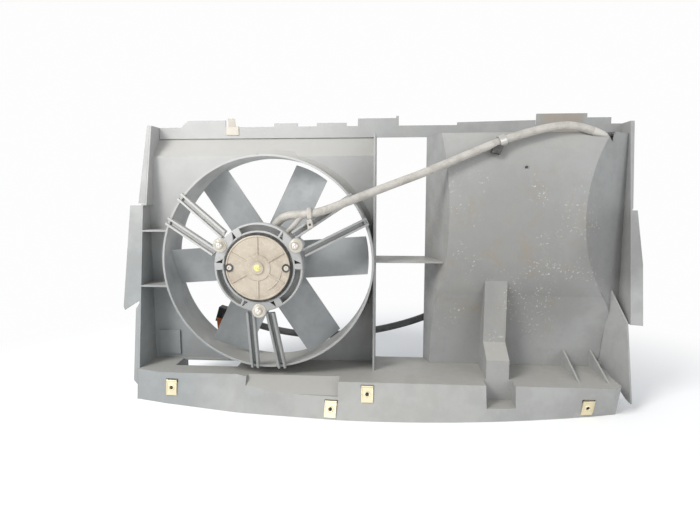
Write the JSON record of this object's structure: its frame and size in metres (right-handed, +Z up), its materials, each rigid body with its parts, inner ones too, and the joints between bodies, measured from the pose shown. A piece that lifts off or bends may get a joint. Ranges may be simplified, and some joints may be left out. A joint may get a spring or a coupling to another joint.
{
  "type": "radiator cooling fan",
  "caption": "Electric radiator fan on a wide moulded cowl with a ring, spider, open window, bulged side panel, bottom tray, edge flaps and wiring.",
  "frame": {"origin": "centre of the bounding box on the plane the cowl stands on, without the free lead", "axes": "+X to the right seen from the engine side, +Y towards the radiator, +Z up; the fan axis lies along Y"},
  "size_m": [0.743, 0.1912, 0.416],
  "materials": {
    "cowl_plastic": "weathered dark grey moulding, faded and dusty",
    "fan_plastic": "grey nylon, dusty",
    "motor_steel": "dulled zinc-plated steel",
    "plate_steel": "brownish coated steel",
    "bright_steel": "machined steel",
    "zinc_yellow": "yellow-passivated zinc plate",
    "black_rubber": "matt black rubber",
    "bronze": "sintered bronze",
    "ferrite": "ceramic magnet, dark grey",
    "laminations": "stacked electrical steel",
    "copper": "enamelled copper",
    "card_board": "brown phenolic board",
    "carbon": "carbon",
    "loom_cover": "dusty grey sleeving",
    "loom_black": "black sleeving",
    "connector_black": "black nylon",
    "lock_orange": "orange nylon"
  },
  "bodies": {
    "cowl": {"window_ribs": "cowl_plastic", "fan_ring": "cowl_plastic", "bottom_tray": "cowl_plastic", "fan_panel": "cowl_plastic", "bulge_panel": "cowl_plastic", "right_wall": "cowl_plastic", "top_rail": "cowl_plastic", "left_air_flaps": "cowl_plastic", "right_air_flaps": "cowl_plastic", "clip_nuts": "zinc_yellow", "motor_can": "motor_steel", "motor_end_plate": "plate_steel", "end_plate_screws": "bright_steel", "motor_flange": "motor_steel", "field_magnets": "ferrite", "rear_bush": "bronze", "front_bush": "bronze", "brush_card": "card_board", "brushes": "carbon", "brush_springs": "bright_steel", "thrust_washers": "bright_steel", "motor_bolts": "bright_steel", "rubber_grommets": "black_rubber", "spacer_sleeves": "bright_steel", "motor_nuts": "bright_steel", "loom_sleeve": "loom_cover", "rear_loom": "loom_black", "loom_connector": "connector_black", "connector_lock": "lock_orange", "cable_tie": "connector_black", "sleeve_clip": "motor_steel", "lead_boot": "loom_cover", "rail_clip": "bright_steel"},
    "rotor": {"motor_shaft": "bright_steel", "fan_drive_pin": "bright_steel", "armature_core": "laminations", "armature_windings": "copper", "commutator": "copper", "fan": "fan_plastic", "fan_clip": "bright_steel"}
  },
  "joints": [
    {"name": "fan_spin", "type": "hinge", "parent": "cowl", "child": "rotor", "pos_m": [-0.1475, -0.02745, 0.205], "axis": [0, 1, 0], "continuous": true}
  ]
}
